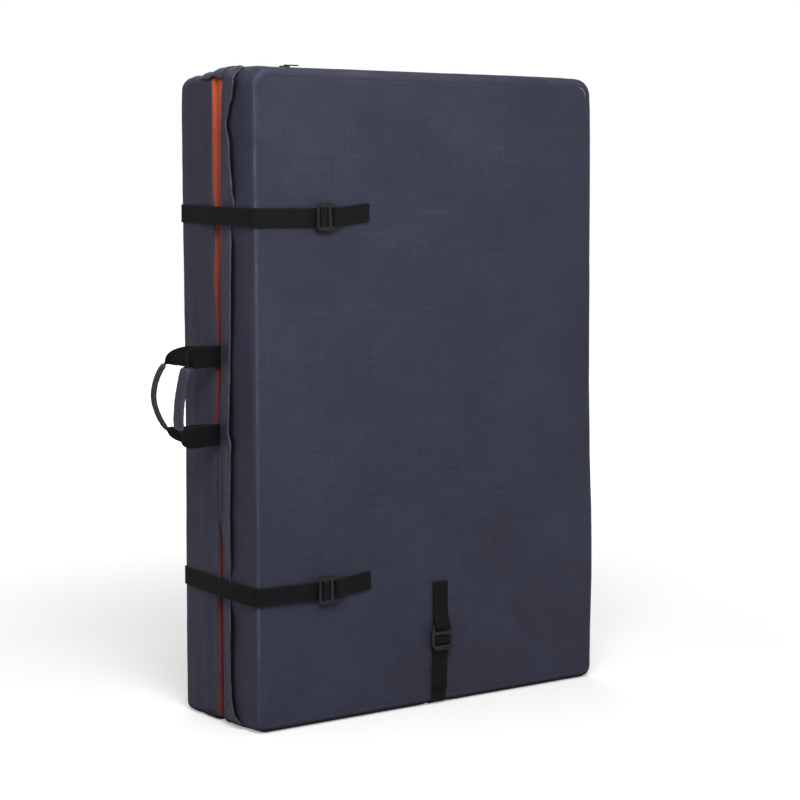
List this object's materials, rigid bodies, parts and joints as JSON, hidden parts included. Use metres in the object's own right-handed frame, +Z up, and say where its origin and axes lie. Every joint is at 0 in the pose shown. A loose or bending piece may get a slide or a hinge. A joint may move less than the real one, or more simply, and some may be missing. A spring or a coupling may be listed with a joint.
{
  "type": "bouldering crash pad",
  "caption": "Folding foam landing pad, shut by webbing straps with ladder locks, with carry handles and a shoulder harness on its back.",
  "frame": {"origin": "bottom centre of the box of the shut pad, as it stands on its short edge", "axes": "+Z up along the long edge; -Y out of the front face with the buckles; +Y out of the back face with the harness; -X to the open side, +X to the hinge"},
  "size_m": [0.6832, 0.223, 0.9002],
  "materials": {
    "slate_fabric": "coarse ripstop cloth, matte",
    "orange_fabric": "smooth landing cloth, matte",
    "black_webbing": "woven webbing",
    "grey_webbing": "woven webbing",
    "black_plastic": "moulded satin",
    "firm_foam": "closed-cell foam",
    "soft_foam": "open-cell foam",
    "zip_metal": "cast slider"
  },
  "bodies": {
    "adjuster_left": {"adjuster_left": "black_plastic"},
    "adjuster_right": {"adjuster_right": "black_plastic"},
    "belt_plug": {"belt_plug": "black_plastic"},
    "back_half": {"belt_socket": "black_plastic", "belt_web_left": "black_webbing", "belt_web_right": "black_webbing", "cover_back": "slate_fabric", "foam_base_back": "firm_foam", "foam_core_back": "soft_foam", "foam_top_back": "firm_foam", "handle_back_seam_low": "black_webbing", "handle_back_seam_top": "black_webbing", "hinge_strip": "slate_fabric", "landing_back": "orange_fabric", "lower_web_left": "black_webbing", "lower_web_right": "black_webbing", "yoke_patch": "black_webbing", "zip_tape_back": "black_webbing"},
    "buckle_bottom": {"buckle_bottom": "black_plastic"},
    "buckle_lower": {"buckle_lower": "black_plastic"},
    "buckle_upper": {"buckle_upper": "black_plastic"},
    "front_half": {"cover_front": "slate_fabric", "flap_side": "slate_fabric", "flap_top": "slate_fabric", "foam_base_front": "firm_foam", "foam_core_front": "soft_foam", "foam_top_front": "firm_foam", "handle_front_seam_low": "black_webbing", "handle_front_seam_top": "black_webbing", "landing_front": "orange_fabric", "tab_bottom": "black_webbing", "tab_lower": "black_webbing", "tab_upper": "black_webbing", "zip_tape_front": "black_webbing"},
    "handle_back": {"handle_back_grip": "grey_webbing", "handle_back_web": "black_webbing"},
    "handle_front": {"handle_front_sleeve": "slate_fabric", "handle_front_web": "black_webbing"},
    "shoulder_left": {"shoulder_pad_left": "slate_fabric", "shoulder_tab_left": "black_webbing"},
    "shoulder_right": {"shoulder_pad_right": "slate_fabric", "shoulder_tab_right": "black_webbing"},
    "strap_bottom": {"strap_bottom": "black_webbing"},
    "strap_lower": {"strap_lower": "black_webbing"},
    "strap_upper": {"strap_upper": "black_webbing"},
    "zip_slider_back": {"zip_pull_back": "zip_metal", "zip_slider_back": "zip_metal"},
    "zip_slider_front": {"zip_pull_front": "zip_metal", "zip_slider_front": "zip_metal"}
  },
  "joints": [
    {"name": "fold", "type": "hinge", "parent": "back_half", "child": "front_half", "pos_m": [0.3439, -0.00049, 0], "axis": [0, 0, 1], "range_deg": [0, 180], "deforming": ["hinge_strip"]},
    {"name": "strap_upper_swing", "type": "hinge", "parent": "back_half", "child": "strap_upper", "pos_m": [-0.2543, 0.09731, 0.6935], "axis": [0, 0, -1], "range_deg": [0, 100], "deforming": ["strap_upper"]},
    {"name": "strap_lower_swing", "type": "hinge", "parent": "back_half", "child": "strap_lower", "pos_m": [-0.2543, 0.09731, 0.186], "axis": [0, 0, -1], "range_deg": [0, 100], "deforming": ["strap_lower"]},
    {"name": "strap_bottom_swing", "type": "hinge", "parent": "back_half", "child": "strap_bottom", "pos_m": [0.0444, 0.09731, 0.0011], "axis": [1, 0, 0], "range_deg": [0, 100], "deforming": ["strap_bottom"]},
    {"name": "buckle_upper_tilt", "type": "hinge", "parent": "front_half", "child": "buckle_upper", "pos_m": [-0.1266, -0.10697, 0.6935], "axis": [0, 0, 1], "range_deg": [0, 35]},
    {"name": "buckle_lower_tilt", "type": "hinge", "parent": "front_half", "child": "buckle_lower", "pos_m": [-0.1266, -0.10697, 0.186], "axis": [0, 0, 1], "range_deg": [0, 35]},
    {"name": "buckle_bottom_tilt", "type": "hinge", "parent": "front_half", "child": "buckle_bottom", "pos_m": [0.051, -0.10697, 0.114], "axis": [-1, 0, 0], "range_deg": [0, 35]},
    {"name": "handle_back_swing", "type": "hinge", "parent": "back_half", "child": "handle_back", "pos_m": [-0.2506, 0.00061, 0.4475], "axis": [0, 0, 1], "range_deg": [-45, 22]},
    {"name": "handle_front_swing", "type": "hinge", "parent": "front_half", "child": "handle_front", "pos_m": [-0.2506, -0.00159, 0.4475], "axis": [0, 0, 1], "range_deg": [-10, 50]},
    {"name": "zip_back_run", "type": "slide", "parent": "back_half", "child": "zip_slider_back", "axis": [1, 0, 0], "range_m": [0, 0.416]},
    {"name": "zip_front_run", "type": "slide", "parent": "front_half", "child": "zip_slider_front", "axis": [1, 0, 0], "range_m": [0, 0.416]},
    {"name": "shoulder_left_lift", "type": "hinge", "parent": "back_half", "child": "shoulder_left", "pos_m": [-0.0056, 0.10251, 0.7377], "axis": [1, 0, 0], "range_deg": [0, 60], "deforming": ["lower_web_left"]},
    {"name": "shoulder_right_lift", "type": "hinge", "parent": "back_half", "child": "shoulder_right", "pos_m": [0.0944, 0.10251, 0.7377], "axis": [1, 0, 0], "range_deg": [0, 60], "deforming": ["lower_web_right"]},
    {"name": "adjuster_left_tilt", "type": "hinge", "parent": "shoulder_left", "child": "adjuster_left", "pos_m": [-0.0696, 0.10601, 0.4003], "axis": [0.9802, 0, -0.1979], "range_deg": [0, 35]},
    {"name": "adjuster_right_tilt", "type": "hinge", "parent": "shoulder_right", "child": "adjuster_right", "pos_m": [0.1584, 0.10601, 0.4003], "axis": [0.9802, 0, 0.1979], "range_deg": [0, 35]},
    {"name": "belt_release", "type": "slide", "parent": "back_half", "child": "belt_plug", "axis": [1, 0, 0], "range_m": [0, 0.034], "deforming": ["belt_web_right"]}
  ]
}
